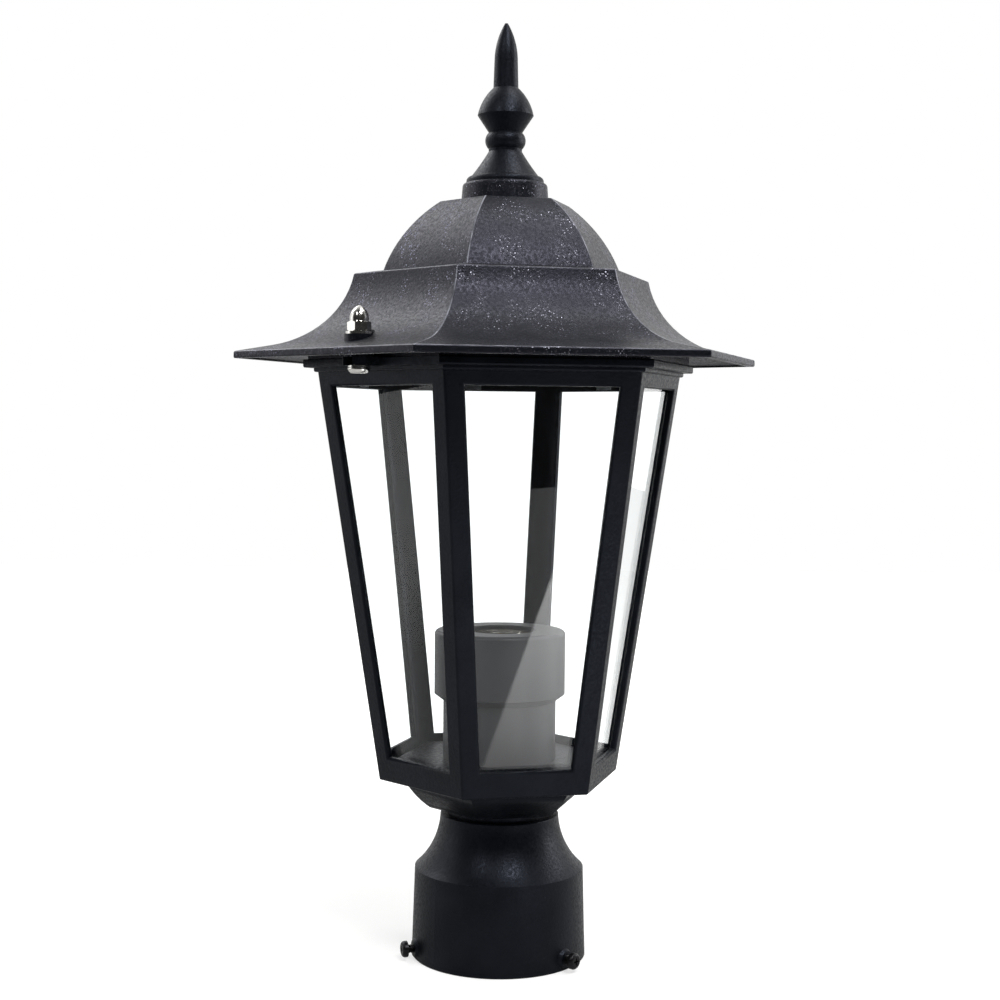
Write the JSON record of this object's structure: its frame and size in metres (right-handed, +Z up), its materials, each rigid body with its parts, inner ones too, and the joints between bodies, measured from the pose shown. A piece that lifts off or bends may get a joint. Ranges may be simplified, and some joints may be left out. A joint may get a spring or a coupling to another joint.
{
  "type": "post light",
  "caption": "Hexagonal post-top lantern: tapered cast cage with clear panes, bell roof with spike finial, screw lamp holder inside and a round collar clamped on a post by set screws.",
  "frame": {"origin": "centre of the collar's bottom rim, on the lantern's upright axis", "axes": "+Z up along the axis; hexagon corners lie on +X and -X; the roof bolts lie on -Y and +Y"},
  "size_m": [0.2194, 0.19, 0.3816],
  "materials": {
    "powder_coat": "black textured powder coat on cast aluminium",
    "painted_sheet": "black paint on pressed sheet steel",
    "clear_glass": "clear polished sheet glass",
    "bright_steel": "bright nickel plate",
    "black_steel": "black oxide on steel",
    "zinc_steel": "zinc-plated steel",
    "phenolic": "dark moulded phenolic",
    "contact_brass": "plain stamped brass"
  },
  "bodies": {
    "lantern_body": {"post_collar": "powder_coat", "lantern_cage": "powder_coat", "glass_pane_1": "clear_glass", "glass_pane_2": "clear_glass", "glass_pane_3": "clear_glass", "glass_pane_4": "clear_glass", "glass_pane_5": "clear_glass", "glass_pane_6": "clear_glass", "pane_clips": "zinc_steel", "pane_clip_screws": "zinc_steel", "roof_bolts": "bright_steel", "floor_pan": "painted_sheet", "earth_screw": "zinc_steel", "holder_cap": "phenolic", "holder_skirt": "phenolic", "contact_block": "phenolic", "screw_shell": "bright_steel", "centre_contact": "contact_brass", "terminal_screws": "contact_brass", "hollow_nipple": "zinc_steel", "nipple_nuts": "zinc_steel", "nipple_washers": "zinc_steel"},
    "roof_top": {"roof": "powder_coat", "roof_washers": "bright_steel", "finial": "powder_coat", "finial_screw": "zinc_steel", "finial_washer": "zinc_steel"},
    "front_nut": {"acorn_nut_1": "bright_steel"},
    "rear_nut": {"acorn_nut_2": "bright_steel"},
    "right_screw": {"set_screw_1": "black_steel"},
    "rear_screw": {"set_screw_2": "black_steel"},
    "left_screw": {"set_screw_3": "black_steel"}
  },
  "joints": [
    {"name": "roof_lift", "type": "slide", "parent": "lantern_body", "child": "roof_top", "axis": [0, 0, 1], "range_m": [0, 0.1]},
    {"name": "front_nut_off", "type": "slide", "parent": "roof_top", "child": "front_nut", "axis": [0, 0, 1], "range_m": [0, 0.012]},
    {"name": "rear_nut_off", "type": "slide", "parent": "roof_top", "child": "rear_nut", "axis": [0, 0, 1], "range_m": [0, 0.012]},
    {"name": "right_screw_drive", "type": "slide", "parent": "lantern_body", "child": "right_screw", "axis": [-0.9957, -0.0924, 0], "range_m": [-0.003, 0.002]},
    {"name": "rear_screw_drive", "type": "slide", "parent": "lantern_body", "child": "rear_screw", "axis": [0.5779, -0.8161, 0], "range_m": [-0.003, 0.002]},
    {"name": "left_screw_drive", "type": "slide", "parent": "lantern_body", "child": "left_screw", "axis": [0.4179, 0.9085, 0], "range_m": [-0.003, 0.002]}
  ]
}
